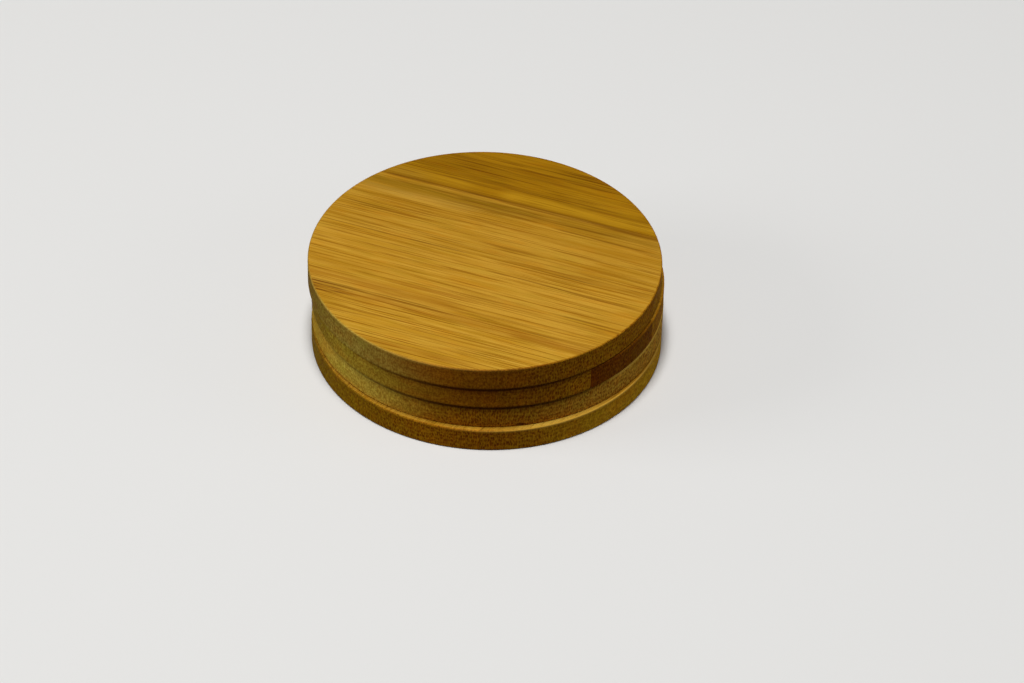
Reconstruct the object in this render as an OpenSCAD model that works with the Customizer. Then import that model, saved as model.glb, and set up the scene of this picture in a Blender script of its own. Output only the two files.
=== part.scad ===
// Set of four round drink coasters, stacked one on another as they lie on a table.
// Each coaster is a disc cut from a board of four flat-pressed bamboo strips,
// which are glued edge to edge through the board's whole thickness.
// The origin is the centre of the bottom coaster's underside, with +Z up,
// +X to the right and -Y towards the front of the stack.

/* [Coaster] */
// Diameter of each coaster
coaster_d = 90; // [60:0.5:140]
// Thickness of each coaster
coaster_t = 6.35; // [3:0.05:12]
// Radius that eases the upper and lower rims
ease_r = 0.4; // [0.1:0.05:1.4]

/* [Bamboo strips] */
// Width of an inner strip, from glue joint to glue joint
strip_w = 24; // [12:0.5:36]
// Distance of the bottom coaster's middle joint ahead of its centre
bottom_joint = 0.5; // [-5:0.1:5]
// Distance of the third coaster's middle joint ahead of its centre
third_joint = 0.1; // [-5:0.1:5]
// Distance of the second coaster's middle joint ahead of its centre
second_joint = -0.1; // [-5:0.1:5]
// Distance of the top coaster's middle joint ahead of its centre
top_joint = 0.3; // [-5:0.1:5]

/* [Grain direction] */
// Angle of the bottom coaster's grain from +X, in degrees
bottom_grain_angle = 56; // [-180:0.1:180]
// Angle of the third coaster's grain from +X, in degrees
third_grain_angle = -49.5; // [-180:0.1:180]
// Angle of the second coaster's grain from +X, in degrees
second_grain_angle = -22; // [-180:0.1:180]
// Angle of the top coaster's grain from +X, in degrees
top_grain_angle = -19.7; // [-180:0.1:180]

/* [Slip between coasters] */
// Slip of the third coaster to the right, on the bottom one
third_slip_x = 0.1; // [-6:0.1:6]
// Slip of the third coaster to the back, on the bottom one
third_slip_y = 1.4; // [-6:0.1:6]
// Slip of the second coaster to the right, on the third
second_slip_x = -0.1; // [-6:0.1:6]
// Slip of the second coaster to the back, on the third
second_slip_y = -0.2; // [-6:0.1:6]
// Slip of the top coaster to the right, on the second
top_slip_x = -0.8; // [-6:0.1:6]
// Slip of the top coaster to the back, on the second
top_slip_y = -0.6; // [-6:0.1:6]

/* [Hidden] */
COASTERS = ["bottom", "third", "second", "top"];
STRIPS = ["front_edge", "front_middle", "back_middle", "back_edge"];

// One value per coaster, from the bottom one up
joints = [bottom_joint, third_joint, second_joint, top_joint];
grain_angles = [bottom_grain_angle, third_grain_angle, second_grain_angle, top_grain_angle];
slips = [
    [0, 0],
    [third_slip_x, third_slip_y],
    [second_slip_x, second_slip_y],
    [top_slip_x, top_slip_y]
];

rim_r = coaster_d / 2;
// Overrun of a cutting shape past what it cuts
overrun = 1;
// Sides of the disc in a preview, and bands in the quarter circle of an eased rim
disc_fn = 180;
ease_steps = 4;

// Bamboo tones, and the tone of each strip from the front edge to the back edge
pale = [0.80, 0.62, 0.30];
golden = [0.71, 0.53, 0.20];
amber = [0.66, 0.46, 0.15];
brown = [0.47, 0.29, 0.10];
tones = [
    [golden, amber, golden, pale],
    [pale, golden, golden, amber],
    [golden, brown, golden, golden],
    [pale, pale, golden, amber]
];

// Quarter circle that eases a rim, as outline points round [rim_r - ease_r, z]
function eased_rim(z, from) = [
    for (step = [0 : ease_steps])
        let (angle = from + 90 * step / ease_steps)
        [rim_r - ease_r + ease_r * cos(angle), z + ease_r * sin(angle)]
];

// A whole coaster, standing on its underside: a flat disc with both rims eased
module coaster_disc() {
    rotate_extrude($fn = disc_fn)
        polygon(concat(
            [[0, 0]],
            eased_rim(ease_r, -90),
            eased_rim(coaster_t - ease_r, 0),
            [[0, coaster_t]]
        ));
}

// Where a strip starts, across the grain: at the rim's front or at a glue joint
function strip_start(s, joint) =
    s == 0 ? -rim_r - overrun : (s - 2) * strip_w - joint;

// Length of the board that strip s fills, with the grain along X
module strip_board(s, joint) {
    start = strip_start(s, joint);
    end = s == len(STRIPS) - 1 ? rim_r + overrun : strip_start(s + 1, joint);
    translate([-rim_r - overrun, start, -overrun])
        cube([2 * (rim_r + overrun), end - start, coaster_t + 2 * overrun]);
}

// Centre of coaster c's underside: the slips below it add up
function seat(c) =
    c == 0 ? [0, 0, 0] : seat(c - 1) + [slips[c].x, slips[c].y, coaster_t];

// Strip s of coaster c: the part of the disc that lies between two glue joints
module bamboo_strip(c, s) {
    color(tones[c][s])
        translate(seat(c))
            intersection() {
                coaster_disc();
                rotate(grain_angles[c])
                    strip_board(s, joints[c]);
            }
}

for (c = [0 : len(COASTERS) - 1], s = [0 : len(STRIPS) - 1])
    bamboo_strip(c, s);
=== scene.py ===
import math
import random

import bpy
from mathutils import Matrix, Vector


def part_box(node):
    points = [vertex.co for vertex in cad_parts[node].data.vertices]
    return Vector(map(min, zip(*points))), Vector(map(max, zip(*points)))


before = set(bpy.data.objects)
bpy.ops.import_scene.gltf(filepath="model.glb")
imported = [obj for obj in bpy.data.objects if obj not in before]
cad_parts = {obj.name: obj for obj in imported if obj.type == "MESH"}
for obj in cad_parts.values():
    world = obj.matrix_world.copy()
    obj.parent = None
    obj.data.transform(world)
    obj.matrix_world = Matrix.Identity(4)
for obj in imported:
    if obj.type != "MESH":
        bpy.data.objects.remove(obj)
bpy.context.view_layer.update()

MM = 0.001
FLOAT = "NodeSocketFloat"
VECTOR = "NodeSocketVector"

# The camera, as the photograph's outlines place it: its focal length in pixels, with the
# picture's width in pixels and the sensor's in mm
FOCAL_LENGTH_PX = 3768
PICTURE_WIDTH = 1024
SENSOR_WIDTH = 36.0
LOOK_DOWN = math.radians(39.32)
ROLL = math.radians(1.59)
CAMERA_DISTANCE = 969.8 * MM
LOOK_AT = Vector((6.6, -2.0, 0)) * MM

# The boards that the coasters are cut from, as part.scad has them: the grain's angle
# from +X in degrees, and how far the middle glue joint lies ahead of the centre in mm.
# The bamboo's skin side lies up or down.
BOARDS = {
    "bottom": {"grain": 56.0, "joint": 0.5, "skin_up": True},
    "third": {"grain": -49.5, "joint": 0.1, "skin_up": False},
    "second": {"grain": -22.0, "joint": -0.1, "skin_up": True},
    "top": {"grain": -19.7, "joint": 0.3, "skin_up": True},
}

# The strips of a coaster, from the front to the back
STRIPS = ("front_edge", "front_middle", "back_middle", "back_edge")

# Sizes of a coaster in mm: a strip's width, the rim's radius, and the radius that eases it
STRIP_WIDTH = 24.0
RIM_RADIUS = 45.0
EASE = 0.4


def srgb(red, green, blue):
    """A colour as a shader takes it, from the 0 to 255 values that a screen shows."""
    def linear(value):
        value /= 255
        return value / 12.92 if value <= 0.04045 else ((value + 0.055) / 1.055) ** 2.4
    return (linear(red), linear(green), linear(blue), 1.0)


class Shader:
    """Adds nodes to one tree, and gives back the sockets that they put out."""

    def __init__(self, tree):
        self.tree = tree

    def give(self, socket, value):
        """Links or sets one socket."""
        if isinstance(value, bpy.types.NodeSocket):
            self.tree.links.new(value, socket)
        else:
            socket.default_value = value

    def node(self, kind, inputs=(), **settings):
        node = self.tree.nodes.new(kind)
        for name, value in settings.items():
            setattr(node, name, value)
        for name, value in dict(inputs).items():
            self.give(node.inputs[name], value)
        return node

    def math(self, operation, *values):
        node = self.node("ShaderNodeMath", operation=operation)
        for socket, value in zip(node.inputs, values):
            self.give(socket, value)
        return node.outputs[0]

    def times(self, *values):
        product = values[0]
        for value in values[1:]:
            product = self.math("MULTIPLY", product, value)
        return product

    def plus(self, *values):
        total = values[0]
        for value in values[1:]:
            total = self.math("ADD", total, value)
        return total

    def minus(self, value, less):
        return self.math("SUBTRACT", value, less)

    def larger(self, a, b):
        return self.math("MAXIMUM", a, b)

    def unsigned(self, value):
        return self.math("ABSOLUTE", value)

    def range(self, value, low, high, to_low=0.0, to_high=1.0):
        """value, moved smoothly from the range low to high into another range."""
        node = self.node(
            "ShaderNodeMapRange",
            {"Value": value, "From Min": low, "From Max": high,
             "To Min": to_low, "To Max": to_high},
            interpolation_type="SMOOTHSTEP",
        )
        return node.outputs["Result"]

    def mix(self, factor, a, b, blend="MIX"):
        node = self.node("ShaderNodeMix", data_type="RGBA", blend_type=blend)
        self.give(node.inputs["Factor"], factor)
        self.give(node.inputs[6], a)
        self.give(node.inputs[7], b)
        return node.outputs[2]

    def tint(self, factor, colour, by):
        """The colour, multiplied by another one as far as factor says."""
        return self.mix(factor, colour, by, "MULTIPLY")

    def parts(self, vector):
        node = self.node("ShaderNodeSeparateXYZ", {"Vector": vector})
        return node.outputs["X"], node.outputs["Y"], node.outputs["Z"]

    def point_at(self, x, y, z):
        return self.node("ShaderNodeCombineXYZ", {"X": x, "Y": y, "Z": z}).outputs[0]

    def noise(self, vector, detail=2.0, roughness=0.5):
        node = self.node(
            "ShaderNodeTexNoise",
            {"Vector": vector, "Scale": 1.0, "Detail": detail, "Roughness": roughness},
        )
        return node.outputs["Fac"], node.outputs["Color"]

    def group(self, tree, inputs):
        return self.node("ShaderNodeGroup", inputs, node_tree=tree).outputs

    def show(self, surface, kind):
        """Sends a surface to the tree's output."""
        self.give(self.node(kind).inputs["Surface"], surface.outputs[0])


def new_group(name, inputs, outputs):
    """A node group with named sockets: its shader, what comes in and what goes out."""
    tree = bpy.data.node_groups.new(name, "ShaderNodeTree")
    for socket, kind in inputs.items():
        tree.interface.new_socket(name=socket, in_out="INPUT", socket_type=kind)
    for socket in outputs:
        tree.interface.new_socket(name=socket, in_out="OUTPUT", socket_type=FLOAT)
    shader = Shader(tree)
    entry = shader.node("NodeGroupInput")
    leave = shader.node("NodeGroupOutput")
    return shader, entry.outputs, leave.inputs


def new_material(name):
    """A material with an empty node tree."""
    material = bpy.data.materials.new(name)
    material.use_nodes = True
    material.node_tree.nodes.clear()
    return material


# In all that follows, a range is two or four numbers: from which value to which one
# something comes in, and between which strengths, which are 0 and 1 where it doesn't say

# The figure's patterns: their length, width and height in mm, their detail and roughness
PATTERNS = {
    "Lines": ((24, 0.34, 0.5), 2.0, 0.5),
    "Bands": ((24, 1.1, 2.2), 3.0, 0.55),
    "Tone": ((26, 5, 9), 2.0, 0.5),
    "Hue": ((9, 2.4, 4), 2.0, 0.5),
    "Fibres": ((5, 0.2, 0.28), 2.0, 0.6),
    "Grit": ((0.45, 0.2, 0.7), 1.0, 0.5),
}

# Fibre bundles: how far they stray from their rows in mm, over what length, width and
# height, and how uneven the rows are
BUNDLE_STRAY = 1.1
STRAY_SIZE = (50, 7, 9)
BUNDLE_CHANCE = 0.62

# How close the rows lie at the culm's inner side, and how much closer for each mm of depth
ROWS = 0.25
CLOSER_ROWS = 0.02

# A bundle's outline, by its distance from the middle, and which bundles are dark, by chance
BUNDLE_OUTLINE = (0.6, 0.2)
DARK_CHANCE = (0.72, 0.86)

# The dots that a bundle breaks up into: their length, width and height in mm, and their
# range
WEAVE_SIZE = (1.4, 0.8, 1.1)
WEAVE = (0.34, 0.62, 0.4, 1.0)

# How far apart in the patterns two strips lie
SEED_STEP = 7.31


def bamboo_figure_group():
    """The figure of flat-pressed bamboo, in millimetres: X along the grain, Y across it
    and Depth from the culm's inner side to its skin. Fibre bundles run along X, so they
    show as long lines on the faces and as upright dashes on end grain, and they crowd
    towards the skin."""
    shader, given, out = new_group(
        "bamboo_figure",
        {"Point": VECTOR, "Depth": FLOAT, "Seed": FLOAT, "Spacing": FLOAT},
        ("Bundles", "Dark bundles", *PATTERNS),
    )
    x, y, z = shader.parts(given["Point"])
    seed = shader.times(given["Seed"], SEED_STEP)

    def stretched(along, across, up):
        """The point, in units of a pattern's own length, width and height."""
        return shader.point_at(
            shader.plus(shader.times(x, 1 / along), seed),
            shader.plus(shader.times(y, 1 / across), seed),
            shader.times(z, 1 / up),
        )

    stray = shader.parts(shader.noise(stretched(*STRAY_SIZE), 1.0)[1])
    depth = given["Depth"]
    row = shader.plus(shader.times(depth, ROWS), shader.times(depth, depth, CLOSER_ROWS))
    section = shader.point_at(
        shader.plus(y, shader.times(stray[0], BUNDLE_STRAY), seed),
        shader.plus(row, shader.times(stray[1], BUNDLE_STRAY), seed),
        0.0,
    )
    cells = shader.node(
        "ShaderNodeTexVoronoi",
        {"Vector": section, "Scale": shader.math("DIVIDE", 1.0, given["Spacing"]),
         "Randomness": BUNDLE_CHANCE},
        voronoi_dimensions="2D", feature="F1",
    )
    bundle = shader.range(cells.outputs["Distance"], *BUNDLE_OUTLINE)
    weave = shader.range(shader.noise(stretched(*WEAVE_SIZE), 1.0)[0], *WEAVE)
    shader.give(out["Bundles"], shader.times(bundle, weave))
    chance = shader.parts(cells.outputs["Color"])[0]
    shader.give(out["Dark bundles"], shader.times(bundle, shader.range(chance, *DARK_CHANCE)))
    for name, (size, detail, roughness) in PATTERNS.items():
        shader.give(out[name], shader.noise(stretched(*size), detail, roughness)[0])
    return shader.tree


# A mark on a face, in mm: how far it takes to fade in and out along the grain, how far it
# wavers and over what length, and which share of its width is at full strength
FADE_IN = 6.0
FADE_OUT = 8.0
WAVER = 0.5
WAVER_LENGTH = 22
FULL_SHARE = 0.1

# The gaps that break a mark up: their length and width in mm, and their range
GAP_LENGTH = 12
GAP_WIDTH = 0.35
GAPS = (0.3, 0.55, 0.25, 1.0)


def grain_mark_group():
    """One long mark on a face: it runs along the grain from Start to End, at Place across
    it, fades at its ends and wavers a little."""
    shader, given, out = new_group(
        "grain_mark",
        {"Point": VECTOR, "Start": FLOAT, "End": FLOAT, "Place": FLOAT, "Slope": FLOAT,
         "Width": FLOAT},
        ("Mask",),
    )
    x, y, _ = shader.parts(given["Point"])
    path = shader.point_at(shader.times(x, 1 / WAVER_LENGTH), given["Place"], 0.0)
    waver = shader.minus(shader.noise(path, 1.0)[0], 0.5)
    off = shader.minus(y, given["Place"])
    off = shader.minus(off, shader.times(x, given["Slope"]))
    off = shader.unsigned(shader.plus(off, shader.times(waver, WAVER)))
    body = shader.range(off, given["Width"], shader.times(given["Width"], FULL_SHARE))
    start = shader.range(x, given["Start"], shader.plus(given["Start"], FADE_IN))
    end = shader.range(x, given["End"], shader.minus(given["End"], FADE_OUT))
    gap = shader.point_at(
        shader.times(x, 1 / GAP_LENGTH), shader.times(y, 1 / GAP_WIDTH), given["Place"],
    )
    broken = shader.range(shader.noise(gap, 1.0)[0], *GAPS)
    shader.give(out["Mask"], shader.times(body, start, end, broken))
    return shader.tree


# The parts of a coaster's edge, as ranges in mm: from the outline inwards
RIM = (EASE, 0.12)
NEAR_RIM = (0.75, 0.35)

# Down from the upper face, and up from the lower one
UPPER_EDGE = (1.0, 0.2)
OFF_THE_FACE = (0.0, 0.12)
BORDER = (0.5, 0.1)
LOWER_EDGE = (0.9, 0.1)


def disc_edge_group():
    """Where a point lies on a coaster: on its rim, on the upper or lower eased edge or on
    the faces' border, and its turn from the front, in radians, positive to the right. End
    grain is 1 where the rim cuts straight across the fibres and 0 where it runs along
    them."""
    shader, given, out = new_group(
        "disc_edges",
        {"Point": VECTOR, "Radius": FLOAT, "Thickness": FLOAT, "Grain": FLOAT},
        ("Rim", "Upper edge", "Lower edge", "Border", "Below top", "Turn", "End grain"),
    )
    x, y, z = shader.parts(given["Point"])
    flat = shader.point_at(x, y, 0.0)
    reach = shader.node("ShaderNodeVectorMath", {0: flat}, operation="LENGTH")
    inset = shader.minus(given["Radius"], reach.outputs["Value"])
    shader.give(out["Rim"], shader.range(inset, *RIM))
    below_top = shader.minus(given["Thickness"], z)
    near_rim = shader.range(inset, *NEAR_RIM)
    upper = shader.range(below_top, *UPPER_EDGE)
    upper = shader.times(upper, shader.range(below_top, *OFF_THE_FACE))
    shader.give(out["Upper edge"], shader.times(upper, near_rim))
    shader.give(out["Border"], shader.times(shader.range(below_top, *BORDER), near_rim))
    shader.give(out["Lower edge"], shader.times(shader.range(z, *LOWER_EDGE), near_rim))
    shader.give(out["Below top"], below_top)
    turn = shader.plus(shader.math("ARCTAN2", x, shader.times(y, -1.0)), given["Grain"])
    shader.give(out["Turn"], shader.math("WRAP", turn, math.pi, -math.pi))
    along = shader.math("DIVIDE", shader.unsigned(x), given["Radius"])
    shader.give(out["End grain"], along)
    return shader.tree


FIGURE = bamboo_figure_group()
GRAIN_MARK = grain_mark_group()
DISC_EDGES = disc_edge_group()

# Face tones: the ground where it is light and where it is dark
FACE_TONES = {
    "bright": (srgb(203, 155, 53), srgb(190, 140, 36)),
    "pale": (srgb(199, 150, 50), srgb(185, 135, 34)),
    "golden": (srgb(192, 144, 46), srgb(176, 127, 29)),
    "amber": (srgb(162, 115, 12), srgb(143, 99, 7)),
    "brown": (srgb(148, 98, 18), srgb(110, 66, 8)),
}

# Rim tones at the far left, at the left, at the front and at the right: partly the rims'
# own colour, partly painted light and shade, paler and olive on the left and darker and
# redder at the front
RIM_TONES_AND_LIGHT = {
    "top": (srgb(164, 138, 52), srgb(202, 178, 80), srgb(180, 116, 19), srgb(212, 154, 29)),
    "second": (srgb(170, 146, 40), srgb(226, 196, 68), srgb(194, 126, 21), srgb(222, 162, 30)),
    "third": (srgb(236, 196, 66), srgb(252, 222, 92), srgb(212, 150, 29), srgb(255, 202, 76)),
    "bottom": (srgb(158, 130, 23), srgb(180, 140, 23), srgb(214, 148, 22), srgb(252, 196, 46)),
}

# Where the rim's tones blend into the next ones, as ranges of the turn from the front in
# radians. Behind the stack the rims take their front tone again.
TO_LEFT = (-0.12, -0.85)
TO_FAR_LEFT = (-0.85, -1.35)
TO_RIGHT = (0.0, 0.8)
TO_BACK = (1.7, 2.5)

# The turns between which the brown strip goes from its first shade to its second, and the
# ones between which the painted shade of the seams ends ahead of it
BROWN_STRIP = (0.64, 1.05)
SEAM_SHADE = (0.9, 0.5)

# Tones of marks, glue, the painted shade of the seams and the nick in the third coaster's rim
BROWN_LINE = srgb(116, 72, 6)
OCHRE_LINE = srgb(146, 95, 8)
OLIVE_BAND = srgb(136, 98, 12)
RUST_BAND = srgb(150, 92, 14)
UMBER_DASH = srgb(98, 52, 8)
AMBER_PATCH = srgb(122, 82, 2)
# A painted pale sheen, laid on the top face as a mark
PALE_SHEEN_PATCH = srgb(178, 144, 66)
GOLD_BAND = srgb(186, 138, 26)
STRAW_BAND = srgb(216, 176, 72)
DARK_GLUE = srgb(84, 50, 6)
PAINTED_SEAM_SHADE = srgb(54, 12, 2)
NICK_DARK = srgb(80, 34, 4)

# How the figure tints the ground on the rims and on the faces: the pattern and its range,
# how strong the tint gets, and the tint
RIM_CASTS = (
    ("Bands", (0.6, 0.4), 0.35, (0.7, 0.66, 0.5, 1)),
    ("Tone", (0.4, 0.6), 0.3, (0.82, 0.76, 0.6, 1)),
    ("Hue", (0.5, 0.66), 1.0, (0.97, 1.03, 0.95, 1)),
    ("Hue", (0.48, 0.34), 1.0, (1.05, 0.96, 0.88, 1)),
)
FACE_CASTS = (
    ("Hue", (0.52, 0.7), 0.6, (0.93, 0.98, 0.9, 1)),
    ("Hue", (0.46, 0.3), 0.6, (1.03, 0.93, 0.75, 1)),
)

# How much the figure's broad tones and its bands count in the faces' light and dark, and
# the range from dark to light
TONE_SHARE = 0.45
BAND_SHARE = 0.55
FACE_LIGHT = (0.38, 0.6)

# The fine grain: the pattern and its range, how strong it gets on the faces and on the
# rims, and its tint
FINE_GRAIN = (
    ("Fibres", (0.42, 0.68), (0.4, 0.9), (0.8, 0.74, 0.58, 1)),
    ("Grit", (0.35, 0.65), (0.12, 0.9), (0.66, 0.53, 0.36, 1)),
)

# The range and the tint of the faces' long lines
LONG_LINES = (0.52, 0.66)
LINE_TINT = (0.55, 0.44, 0.2, 1)

# Bundles on the rims: how they grow with the end grain, how they fade towards the far left
# by the turn, and their tint
BUNDLE_GROWTH = (0.15, 0.75, 0.15, 1.0)
BUNDLE_FADE = (-0.95, -0.4, 0.7, 1.0)
BUNDLE_TINT = (0.48, 0.29, 0.11, 1)

# Dark bundles: how strong they are on the faces and on the rims, and their tint
DARK_BUNDLES = (0.15, 0.2)
DARK_BUNDLE_TINT = (0.6, 0.5, 0.26, 1)

# The tint that the culm's skin gives a rim, how strong it is, and how far below the skin,
# in mm, it starts and is full
SKIN_TINT = (0.72, 0.62, 0.45, 1)
SKIN_DEPTH = 0.3
SKIN_FROM = 2.2
SKIN_FULL = 0.6


def mark(start, end, place, width, depth, colour, slope=0.0):
    """A mark along the grain, in mm from the coaster's centre: how wide and how strong."""
    return {
        "start": start, "end": end, "place": place, "width": width, "depth": depth,
        "colour": colour, "slope": slope,
    }


# The marks that the photograph shows on the top coaster, from the back strip forwards
TOP_MARKS = {
    "back_edge": [
        mark(-8, 46, 26.3, 3.2, 0.7, GOLD_BAND),
        mark(-46, -10, 26.4, 3.2, 0.45, GOLD_BAND),
        # Painted sheen
        mark(-50, -22, 25.8, 3.0, 0.12, PALE_SHEEN_PATCH),
        mark(8, 34, 31.6, 3.6, 0.35, GOLD_BAND),
        mark(-26, 8, 36.0, 4.2, 0.2, AMBER_PATCH),
        mark(-38, 46, 24.0, 0.7, 0.6, BROWN_LINE),
        mark(-24, 0, 28.1, 0.7, 0.4, BROWN_LINE),
        mark(-16, 13, 29.6, 0.6, 0.45, BROWN_LINE),
        mark(-32, -8, 30.5, 0.8, 0.35, BROWN_LINE),
        mark(-17, -2, 32.5, 0.9, 0.4, BROWN_LINE),
        mark(-2, 14, 35.4, 0.7, 0.45, BROWN_LINE),
        mark(3, 24, 37.9, 0.9, 0.4, BROWN_LINE),
        mark(14, 38, 28.6, 0.8, 0.4, BROWN_LINE),
    ],
    "back_middle": [
        mark(-44, 13, 20.8, 2.6, 0.95, OLIVE_BAND),
        mark(8, 46, 21.2, 3.0, 0.6, OLIVE_BAND),
        mark(-46, 6, 18.6, 2.6, 0.5, OLIVE_BAND),
        mark(12, 46, 18.2, 3.0, 0.25, OLIVE_BAND),
        mark(-40, 46, 23.3, 0.9, 0.8, BROWN_LINE, slope=-0.008),
        mark(-36, 12, 21.5, 0.6, 0.55, BROWN_LINE),
        mark(-20, 34, 20.1, 0.6, 0.65, BROWN_LINE),
        mark(-20, 11, 18.6, 0.5, 0.6, BROWN_LINE),
        mark(9, 46, 18.1, 0.6, 0.5, BROWN_LINE, slope=-0.028),
        # Painted sheen
        mark(-44, -6, 16.8, 2.4, 0.28, PALE_SHEEN_PATCH),
        mark(-42, 44, 13.6, 2.4, 0.2, OCHRE_LINE),
        mark(-38, 11, 13.2, 0.45, 0.6, OCHRE_LINE),
        mark(10, 44, 12.0, 0.5, 0.55, OCHRE_LINE),
        mark(-46, -27, 9.2, 0.5, 0.7, BROWN_LINE),
        mark(4, 40, 5.4, 0.5, 0.6, OCHRE_LINE),
        mark(-39, -17, 3.8, 0.6, 0.5, OCHRE_LINE),
        mark(2, 46, 0.5, 0.9, 0.55, OCHRE_LINE),
    ],
    "front_middle": [
        mark(0, 46, -0.9, 0.8, 0.6, OCHRE_LINE),
        mark(-46, 20, -3.0, 2.6, 0.15, OCHRE_LINE),
        mark(13, 46, -2.6, 0.5, 0.55, OCHRE_LINE),
        mark(-17, 9, -4.3, 0.45, 0.5, OCHRE_LINE),
        mark(0, 46, -5.0, 0.5, 0.6, BROWN_LINE, slope=-0.016),
        mark(-45, -24, -9.3, 0.5, 0.5, OCHRE_LINE),
        mark(12, 44, -9.0, 0.45, 0.5, OCHRE_LINE),
        mark(-46, -23, -12.4, 0.5, 0.45, OCHRE_LINE),
        mark(-8, 44, -13.0, 0.45, 0.5, OCHRE_LINE),
        mark(22, 43, -15.1, 0.5, 0.6, BROWN_LINE),
        mark(-22, 8, -18.0, 1.1, 0.55, RUST_BAND),
        mark(-2, 26, -16.4, 2.6, 0.25, OCHRE_LINE),
        mark(-46, 6, -21.8, 3.0, 0.45, RUST_BAND),
        mark(-46, -20, -16.4, 2.6, 0.25, OCHRE_LINE),
        mark(-6, 24, -22.1, 0.6, 0.6, OCHRE_LINE),
        mark(12, 42, -20.4, 0.5, 0.55, OCHRE_LINE),
        mark(6, 42, -23.9, 0.6, 0.6, OCHRE_LINE),
    ],
    "front_edge": [
        mark(-46, -14, -26.8, 3.2, 0.4, RUST_BAND),
        mark(-24, 46, -25.8, 2.8, 0.5, RUST_BAND),
        mark(-48, -28, -24.9, 0.55, 0.9, UMBER_DASH),
        mark(-47, -24, -26.0, 0.5, 0.9, UMBER_DASH),
        mark(-46, -30, -27.0, 0.6, 0.95, UMBER_DASH),
        mark(-42, -26, -28.0, 0.5, 0.85, UMBER_DASH),
        mark(-34, -22, -27.4, 0.5, 0.8, UMBER_DASH),
        mark(-40, -18, -24.7, 0.45, 0.7, UMBER_DASH),
        mark(14, 46, -26.4, 2.6, 0.3, RUST_BAND),
        mark(-44, -22, -32.5, 4.6, 0.4, OCHRE_LINE),
        mark(-34, 4, -25.0, 0.5, 0.65, BROWN_LINE),
        mark(-14, 16, -27.7, 0.5, 0.6, OCHRE_LINE),
        mark(15, 40, -27.2, 0.7, 0.6, OCHRE_LINE),
        mark(-30, -12, -29.1, 0.45, 0.5, OCHRE_LINE),
        mark(-12, 14, -31.0, 0.45, 0.55, OCHRE_LINE),
        mark(-34, -19, -31.9, 0.6, 0.55, OCHRE_LINE),
        mark(0, 22, -32.8, 0.5, 0.55, OCHRE_LINE),
        mark(-8, 20, -34.0, 0.45, 0.45, OCHRE_LINE),
        mark(-6, 28, -35.7, 0.45, 0.45, OCHRE_LINE),
        mark(-24, 16, -41.8, 1.8, 0.45, RUST_BAND),
    ],
}

# The paler streak that shows on the bottom coaster, ahead of the others at the right
BOTTOM_MARKS = {"front_edge": [mark(-48, -6, -37.0, 9.0, 0.85, STRAW_BAND)]}
SEEN_MARKS = {"top": TOP_MARKS, "bottom": BOTTOM_MARKS}

# The marks of a strip whose faces don't show: how many, where they start and how long they
# are in mm, how far from the strip's edges they stay, and how wide and strong they are
CHANCE_MARKS = 5
CHANCE_START = (-46, 6)
CHANCE_LENGTH = (22, 50)
FROM_EDGE = 2
CHANCE_WIDTHS = (0.45, 0.5, 0.9, 1.6)
CHANCE_DEPTH = (0.4, 0.6)


def chance_marks(seed, strip):
    """Marks for a strip whose faces the photograph hides."""
    pick = random.Random(seed)
    front = (STRIPS.index(strip) - 2) * STRIP_WIDTH
    marks = []
    for _ in range(CHANCE_MARKS):
        start = pick.uniform(*CHANCE_START)
        marks.append(mark(
            start, start + pick.uniform(*CHANCE_LENGTH),
            front + pick.uniform(FROM_EDGE, STRIP_WIDTH - FROM_EDGE),
            pick.choice(CHANCE_WIDTHS), pick.uniform(*CHANCE_DEPTH),
            pick.choice((OCHRE_LINE, OCHRE_LINE, BROWN_LINE, RUST_BAND)),
        ))
    return marks


# Glue lines: their outline and the length of their fainter stretches in mm, the range of
# those, and their share on a rim
GLUE_OUTLINE = (0.2, 0.04)
GLUE_STRETCH = 16
GLUE_STRENGTH = (0.35, 0.62, 0.05, 0.55)
GLUE_ON_RIM = 0.35

# What the brown strip does to the rim's tone, where it starts and where it ends
RED_BROWN_SHADE = ((0.45, 0.27, 0.22, 1), (0.53, 0.45, 0.32, 1))

# The pale wear and painted highlight of each coaster's upper edge, and between which turns
# from the front, in radians, it grows
EDGE_WEAR_AND_HIGHLIGHT = {
    "top": {"from": 0.4, "to": -0.5, "depth": 0.35, "colour": srgb(214, 172, 74)},
    "second": {"from": 0.9, "to": 1.2, "depth": 0.3, "colour": srgb(200, 140, 34)},
    "third": {"from": 0.68, "to": 0.9, "depth": 0.95, "colour": srgb(255, 204, 84)},
    "bottom": {"from": -0.3, "to": 0.5, "depth": 0.95, "colour": srgb(236, 184, 72)},
}

# Where painted shade darkens an upper border: between which turns it comes, between which
# ones it goes again, and how strong it is
BORDER_PAINTED_SHADE = {
    "second": (0.55, 0.7, 1.0, 1.2, 0.25),
    "bottom": (0.85, 1.2, 1.6, 1.8, 0.38),
}

# The coaster that lies on another one, where the photograph shows shade between the two and
# shade is painted on the rim below, how fast that painted shade fades to the sides, and how
# strong it is
ABOVE = {"second": ("top", 2.5), "third": ("second", 1.5)}
SHADE_DEPTH = 0.88

# How that shade fades downwards, in mm: a dark core and a paler halo, how dark the halo
# is, and what share of its own width an overhang hides
SHADE_CORE = (0.8, 0.3)
SHADE_HALO = (2.2, 0.6)
HALO_DEPTH = 0.4
HIDDEN_SHARE = 0.8

# The coasters whose rims also get painted shade along the bottom, how fast that fades
# towards the sides, and how strong it is
PAINTED_SHADE_BELOW = ("top", "second")
BELOW_POWER = 3.0
BELOW_DEPTH = 0.55

# The nick in a rim: its coaster, its turn from the front in radians, and its height, half
# length and half height in mm. Its outline is 1 at those half sizes.
NICK = {"coaster": "third", "turn": 0.205, "height": 0.6, "half_long": 1.4, "half_high": 0.45}
NICK_OUTLINE = (1.2, 0.4, 0.0, 0.8)

# How strongly lines show on a strip's faces, where its look doesn't say
LINES = 0.75

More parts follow.
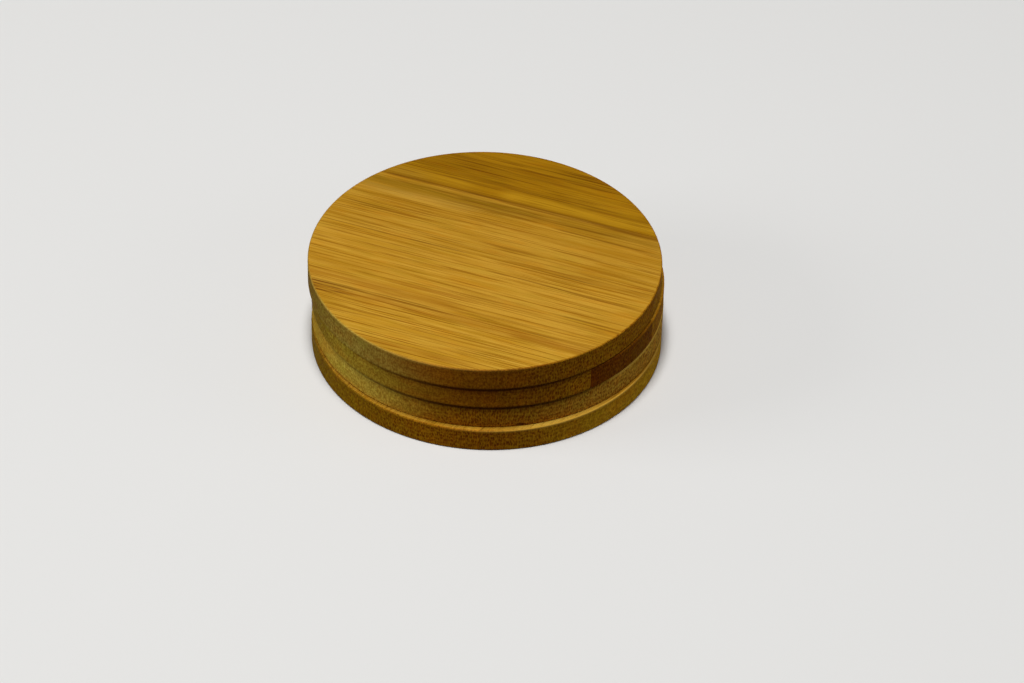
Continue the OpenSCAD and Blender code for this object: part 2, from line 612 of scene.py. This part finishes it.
# How strong an upper edge's wear and painted highlight are where they are least, and behind the
# stack
LEAST_WEAR_AND_HIGHLIGHT = 0.05
WEAR_AND_HIGHLIGHT_BEHIND = 0.12

# The surface: its shine, how rough it is by its fibres, and how much rougher a rim is
SHINE = 0.02
ROUGHNESS = (0.3, 0.7, 0.42, 0.56)
ROUGHER_RIM = 0.25

# The relief: its depth in mm and its strength, and how much fibres and bundles count in it
RELIEF_DEPTH = 0.04
RELIEF_STRENGTH = 0.7
FIBRE_RELIEF = 0.5
BUNDLE_RELIEF = 0.4

# How each strip differs from its neighbours: its tone, the spacing of its fibre bundles
# in mm, and how strongly lines show on its faces
STRIP_LOOKS = {
    "top": {
        "front_edge": {"tone": "bright", "spacing": 0.45, "lines": 0.95},
        "front_middle": {"tone": "pale", "spacing": 0.45},
        "back_middle": {"tone": "golden", "spacing": 0.45},
        "back_edge": {"tone": "amber", "spacing": 0.45, "lines": 0.95},
    },
    "second": {
        "front_edge": {"tone": "golden", "spacing": 0.45},
        "front_middle": {"tone": "brown", "spacing": 0.45, "rim_shade": RED_BROWN_SHADE},
        "back_middle": {"tone": "golden", "spacing": 0.45},
        "back_edge": {"tone": "golden", "spacing": 0.45},
    },
    "third": {
        "front_edge": {"tone": "pale", "spacing": 0.45},
        "front_middle": {"tone": "golden", "spacing": 0.45},
        "back_middle": {"tone": "golden", "spacing": 0.45},
        "back_edge": {"tone": "amber", "spacing": 0.45},
    },
    "bottom": {
        "front_edge": {"tone": "golden", "spacing": 0.45},
        "front_middle": {"tone": "bright", "spacing": 0.46},
        "back_middle": {"tone": "bright", "spacing": 0.44},
        "back_edge": {"tone": "pale", "spacing": 0.45},
    },
}


def disc_of(coaster):
    """The centre of a coaster's underside, its radius and its thickness, in mm."""
    lows, highs = zip(*(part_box(f"{coaster}_{strip}_strip") for strip in STRIPS))
    low = Vector([min(corner[axis] for corner in lows) for axis in range(3)]) / MM
    high = Vector([max(corner[axis] for corner in highs) for axis in range(3)]) / MM
    centre = (low + high) / 2
    return Vector((centre.x, centre.y, low.z)), (high.x - low.x) / 2, high.z - low.z


class StripShader(Shader):
    """The shader of one strip's material, which knows where each point lies on its coaster
    and what the bamboo's figure is there."""

    def __init__(self, tree, coaster, strip, seed):
        super().__init__(tree)
        board = BOARDS[coaster]
        self.coaster, self.joint = coaster, board["joint"]
        self.look = STRIP_LOOKS[coaster][strip]
        self.seat, radius, self.thickness = disc_of(coaster)
        grain = math.radians(board["grain"])
        self.point = self.board_point(grain)
        self.height = self.parts(self.point)[2]
        self.depth = self.height if board["skin_up"] else self.minus(self.thickness, self.height)
        self.figure = self.group(FIGURE, {
            "Point": self.point, "Depth": self.depth, "Seed": seed,
            "Spacing": self.look["spacing"],
        })
        self.edges = self.group(DISC_EDGES, {
            "Point": self.point, "Radius": radius, "Thickness": self.thickness, "Grain": grain,
        })
        self.rim, self.turn = self.edges["Rim"], self.edges["Turn"]
        self.not_rim = self.minus(1.0, self.rim)
        self.behind = self.range(self.unsigned(self.turn), *TO_BACK)

    def board_point(self, grain):
        """The place on a coaster's own board in mm, with X along its grain."""
        mapping = self.node(
            "ShaderNodeMapping",
            {"Vector": self.node("ShaderNodeTexCoord").outputs["Object"],
             "Location": self.seat * MM, "Rotation": (0, 0, grain), "Scale": (MM, MM, MM)},
            vector_type="TEXTURE",
        )
        return mapping.outputs[0]

    def by_place(self, on_faces, on_rim):
        """One value on the faces and another one on the rim."""
        return self.range(self.rim, 0, 1, on_faces, on_rim)

    def front_share(self, power):
        """1 at the front and less and less towards both sides, the faster the greater
        power is, and nothing along the brown strip at the right."""
        facing = self.larger(self.math("COSINE", self.turn), 0.0)
        return self.times(self.math("POWER", facing, power), self.range(self.turn, *SEAM_SHADE))


def add_casts(bamboo, colour, casts):
    """The colour with the casts that the figure gives it."""
    for pattern, values, strength, cast in casts:
        shown_at = bamboo.range(bamboo.figure[pattern], *values)
        colour = bamboo.tint(bamboo.times(shown_at, strength), colour, cast)
    return colour


def rim_ground_and_light(bamboo):
    """The rim's colour between the bundles, which changes on the way round the coaster: partly
    its own colour, partly painted light and shade by side.
    """
    far_left, left, front, right = RIM_TONES_AND_LIGHT[bamboo.coaster]
    turn, thickness = bamboo.turn, bamboo.thickness
    # The tones by side are partly painted light and shade
    colour = bamboo.mix(bamboo.range(turn, *TO_LEFT), front, left)
    colour = bamboo.mix(bamboo.range(turn, *TO_FAR_LEFT), colour, far_left)
    colour = bamboo.mix(bamboo.range(turn, *TO_RIGHT), colour, right)
    colour = bamboo.mix(bamboo.behind, colour, front)
    if "rim_shade" in bamboo.look:
        shade = bamboo.mix(bamboo.range(turn, *BROWN_STRIP), *bamboo.look["rim_shade"])
        colour = bamboo.tint(1.0, colour, shade)
    skin = bamboo.range(bamboo.depth, thickness - SKIN_FROM, thickness - SKIN_FULL)
    colour = bamboo.tint(bamboo.times(skin, SKIN_DEPTH), colour, SKIN_TINT)
    return add_casts(bamboo, colour, RIM_CASTS)


def face_ground(bamboo):
    """The faces' colour between the bundles: light and dark bands, olive and orange casts."""
    light, dark = FACE_TONES[bamboo.look["tone"]]
    tone = bamboo.times(bamboo.figure["Tone"], TONE_SHARE)
    shade = bamboo.plus(tone, bamboo.times(bamboo.figure["Bands"], BAND_SHARE))
    colour = bamboo.mix(bamboo.range(shade, *FACE_LIGHT), dark, light)
    return add_casts(bamboo, colour, FACE_CASTS)


def add_fibres(bamboo, colour):
    """The colour with the fibres and grit in it, lines on the faces and bundles' ends on
    the rim."""
    figure = bamboo.figure
    for pattern, values, strengths, tint in FINE_GRAIN:
        shown_at = bamboo.range(figure[pattern], *values)
        colour = bamboo.tint(bamboo.times(shown_at, bamboo.by_place(*strengths)), colour, tint)
    lines = bamboo.range(figure["Lines"], *LONG_LINES)
    lines = bamboo.times(lines, bamboo.not_rim, bamboo.look.get("lines", LINES))
    colour = bamboo.tint(lines, colour, LINE_TINT)
    end_grain = bamboo.range(bamboo.edges["End grain"], *BUNDLE_GROWTH)
    fade = bamboo.larger(bamboo.range(bamboo.turn, *BUNDLE_FADE), bamboo.behind)
    bundles = bamboo.times(figure["Bundles"], bamboo.rim, end_grain, fade)
    colour = bamboo.tint(bundles, colour, BUNDLE_TINT)
    dark = bamboo.times(figure["Dark bundles"], bamboo.by_place(*DARK_BUNDLES))
    return bamboo.tint(dark, colour, DARK_BUNDLE_TINT)


def add_marks(bamboo, colour, marks):
    """The colour with the faces' larger marks on it."""
    for each in marks:
        mask = bamboo.group(GRAIN_MARK, {
            "Point": bamboo.point, "Start": each["start"], "End": each["end"],
            "Place": each["place"], "Slope": each["slope"], "Width": each["width"],
        })["Mask"]
        strength = bamboo.times(mask, bamboo.not_rim, each["depth"])
        colour = bamboo.mix(strength, colour, each["colour"])
    return colour


def glue_lines(bamboo):
    """How strongly a glue line shows: it is fine, and fainter in places."""
    x, y, _ = bamboo.parts(bamboo.point)
    path = bamboo.point_at(bamboo.times(x, 1 / GLUE_STRETCH), bamboo.joint, 0.0)
    strength = bamboo.range(bamboo.noise(path)[0], *GLUE_STRENGTH)
    lines = 0.0
    for step in (-1, 0, 1):
        off = bamboo.unsigned(bamboo.minus(y, step * STRIP_WIDTH - bamboo.joint))
        lines = bamboo.larger(bamboo.range(off, *GLUE_OUTLINE), lines)
    return bamboo.times(lines, strength, bamboo.by_place(1, GLUE_ON_RIM))


def add_wear_and_highlight(bamboo, colour):
    """The colour with pale wear and a painted highlight along the upper edge."""
    wear_and_highlight = EDGE_WEAR_AND_HIGHLIGHT[bamboo.coaster]
    worn_and_lit = bamboo.range(bamboo.turn, wear_and_highlight["from"], wear_and_highlight["to"], LEAST_WEAR_AND_HIGHLIGHT, wear_and_highlight["depth"])
    worn_and_lit = bamboo.plus(worn_and_lit, bamboo.times(bamboo.behind, bamboo.minus(WEAR_AND_HIGHLIGHT_BEHIND, worn_and_lit)))
    # Pale wear together with a painted highlight on the upper edge
    return bamboo.mix(bamboo.times(bamboo.edges["Upper edge"], worn_and_lit), colour, wear_and_highlight["colour"])


def under_shade(bamboo, slip, power):
    """The painted shade at the top of a rim, under the coaster above, which has slipped
    over it by slip, in mm. It fades towards the sides as power says."""
    overhang = bamboo.plus(
        bamboo.times(bamboo.math("SINE", bamboo.turn), slip.x),
        bamboo.times(bamboo.math("COSINE", bamboo.turn), -slip.y),
    )
    hidden = bamboo.times(bamboo.larger(overhang, 0.0), HIDDEN_SHARE)
    down = bamboo.minus(bamboo.edges["Below top"], hidden)
    core = bamboo.range(down, *SHADE_CORE)
    halo = bamboo.times(bamboo.range(down, *SHADE_HALO), HALO_DEPTH)
    return bamboo.times(bamboo.larger(core, halo), bamboo.front_share(power), SHADE_DEPTH)


def nick_spot(bamboo):
    """Where the small dark nick in a rim shows."""
    along = bamboo.times(bamboo.minus(bamboo.turn, NICK["turn"]), RIM_RADIUS / NICK["half_long"])
    up = bamboo.times(bamboo.minus(bamboo.height, NICK["height"]), 1 / NICK["half_high"])
    spread = bamboo.plus(bamboo.times(along, along), bamboo.times(up, up))
    return bamboo.range(spread, *NICK_OUTLINE)


def add_shade(bamboo, colour):
    """The colour with painted shade in the seams and along the border, and with the dark nick.
    """
    coaster, turn, edges = bamboo.coaster, bamboo.turn, bamboo.edges
    if coaster in ABOVE:
        above, power = ABOVE[coaster]
        shade = under_shade(bamboo, disc_of(above)[0] - bamboo.seat, power)
        # Painted shade on the rim under the coaster above
        colour = bamboo.mix(bamboo.times(shade, bamboo.rim), colour, PAINTED_SEAM_SHADE)
    if coaster in BORDER_PAINTED_SHADE:
        come, full, fade, gone, strength = BORDER_PAINTED_SHADE[coaster]
        border_shade = bamboo.times(bamboo.range(turn, come, full), bamboo.range(turn, gone, fade))
        border_shade = bamboo.times(edges["Border"], border_shade, strength)
        # Painted shade along the upper border
        colour = bamboo.mix(border_shade, colour, PAINTED_SEAM_SHADE)
    if coaster in PAINTED_SHADE_BELOW:
        # Painted shade along the bottom of the rim
        shade = bamboo.times(edges["Lower edge"], bamboo.front_share(BELOW_POWER), BELOW_DEPTH)
        colour = bamboo.mix(shade, colour, PAINTED_SEAM_SHADE)
    if coaster == NICK["coaster"]:
        colour = bamboo.mix(nick_spot(bamboo), colour, NICK_DARK)
    return colour


def satin_bamboo(bamboo, colour, glue):
    """The finished surface: fibres in slight relief, and glue and bundles a little sunk."""
    fibres = bamboo.figure["Fibres"]
    relief = bamboo.minus(bamboo.times(fibres, FIBRE_RELIEF), glue)
    relief = bamboo.minus(relief, bamboo.times(bamboo.figure["Bundles"], BUNDLE_RELIEF))
    normal = bamboo.node(
        "ShaderNodeBump",
        {"Height": relief, "Strength": RELIEF_STRENGTH, "Distance": RELIEF_DEPTH * MM},
    )
    roughness = bamboo.range(fibres, *ROUGHNESS)
    roughness = bamboo.plus(roughness, bamboo.times(bamboo.rim, ROUGHER_RIM))
    return bamboo.node(
        "ShaderNodeBsdfPrincipled",
        {"Base Color": colour, "Normal": normal.outputs[0], "Roughness": roughness,
         "Specular IOR Level": SHINE},
    )


def bamboo_material(coaster, strip, seed):
    """The bamboo of one strip: its figure on the faces and the rim, with marks, wear and painted
    light and shade.
    """
    material = new_material(f"bamboo_{coaster}_{strip}")
    bamboo = StripShader(material.node_tree, coaster, strip, seed)
    colour = bamboo.mix(bamboo.rim, face_ground(bamboo), rim_ground_and_light(bamboo))
    colour = add_fibres(bamboo, colour)
    marks = SEEN_MARKS.get(coaster, {}).get(strip) or chance_marks(seed, strip)
    colour = add_marks(bamboo, colour, marks)
    glue = glue_lines(bamboo)
    colour = bamboo.mix(glue, colour, DARK_GLUE)
    colour = add_shade(bamboo, add_wear_and_highlight(bamboo, colour))
    bamboo.show(satin_bamboo(bamboo, colour, glue), "ShaderNodeOutputMaterial")
    return material


def finish_strips():
    """Gives every strip the material of its own, and the patterns a seed of their own."""
    strips = [(coaster, strip) for coaster in BOARDS for strip in STRIPS]
    for seed, (coaster, strip) in enumerate(strips, start=1):
        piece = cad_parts[f"{coaster}_{strip}_strip"]
        piece.data.materials[0] = bamboo_material(coaster, strip, seed)


# The floor and the surroundings, as they show and as they light the stack: the rims keep
# their shade because both give less light than they show
FLOOR_SHOWN = (0.78, 0.775, 0.76, 1)
FLOOR_LIGHT = (0.16, 0.16, 0.16, 1)
FLOOR_SIZE = 8
SKY_COLOUR = (1, 0.995, 0.985, 1)
SKY_SHOWN = 0.85
SKY_LIGHT = 0.07

# The soft lamps: place and size in metres, and power in watts
LAMPS = {
    "key": {"place": (-0.065, -0.12, 1.5), "size": 0.28, "power": 18.6},
    "side": {"place": (-1.3, -0.2, 0.4), "size": 0.7, "power": 5.5},
    "fill": {"place": (1.3, -0.2, 0.4), "size": 0.7, "power": 1.6},
}


def shown(shader):
    """1 where the camera, a reflection or a clear body sees the surface, and 0 for light."""
    path = shader.node("ShaderNodeLightPath").outputs
    seen = shader.larger(path["Is Camera Ray"], path["Is Glossy Ray"])
    return shader.larger(seen, path["Is Transmission Ray"])


def plain_floor():
    material = new_material("floor_paper")
    shader = Shader(material.node_tree)
    colour = shader.mix(shown(shader), FLOOR_LIGHT, FLOOR_SHOWN)
    paper = shader.node("ShaderNodeBsdfDiffuse", {"Color": colour})
    shader.show(paper, "ShaderNodeOutputMaterial")
    bpy.ops.mesh.primitive_plane_add(size=FLOOR_SIZE)
    floor = bpy.context.object
    floor.name = "floor"
    floor.data.materials.append(material)


def soft_box(name, place, size, power):
    """A square lamp that faces the stack."""
    data = bpy.data.lights.new(name, "AREA")
    data.shape = "SQUARE"
    data.size = size
    data.energy = power
    lamp = bpy.data.objects.new(name, data)
    bpy.context.scene.collection.objects.link(lamp)
    lamp.location = place
    lamp.rotation_euler = (-Vector(place)).to_track_quat("-Z", "Y").to_euler()


def studio_light():
    for name, lamp in LAMPS.items():
        soft_box(name, **lamp)
    world = bpy.data.worlds.new("studio")
    world.use_nodes = True
    world.node_tree.nodes.clear()
    shader = Shader(world.node_tree)
    strength = shader.range(shown(shader), 0, 1, SKY_LIGHT, SKY_SHOWN)
    sky = shader.node("ShaderNodeBackground", {"Color": SKY_COLOUR, "Strength": strength})
    shader.show(sky, "ShaderNodeOutputWorld")
    bpy.context.scene.world = world


def photo_camera():
    data = bpy.data.cameras.new("camera")
    data.sensor_width = SENSOR_WIDTH
    data.lens = FOCAL_LENGTH_PX / PICTURE_WIDTH * SENSOR_WIDTH
    camera = bpy.data.objects.new("camera", data)
    bpy.context.scene.collection.objects.link(camera)
    ahead = Vector((0, math.cos(LOOK_DOWN), -math.sin(LOOK_DOWN)))
    turn = Matrix.Rotation(math.pi / 2 - LOOK_DOWN, 4, "X") @ Matrix.Rotation(ROLL, 4, "Z")
    camera.matrix_world = Matrix.Translation(LOOK_AT - CAMERA_DISTANCE * ahead) @ turn
    bpy.context.scene.camera = camera


photo_camera()
plain_floor()
studio_light()
finish_strips()
bpy.context.scene.view_settings.view_transform = "Standard"
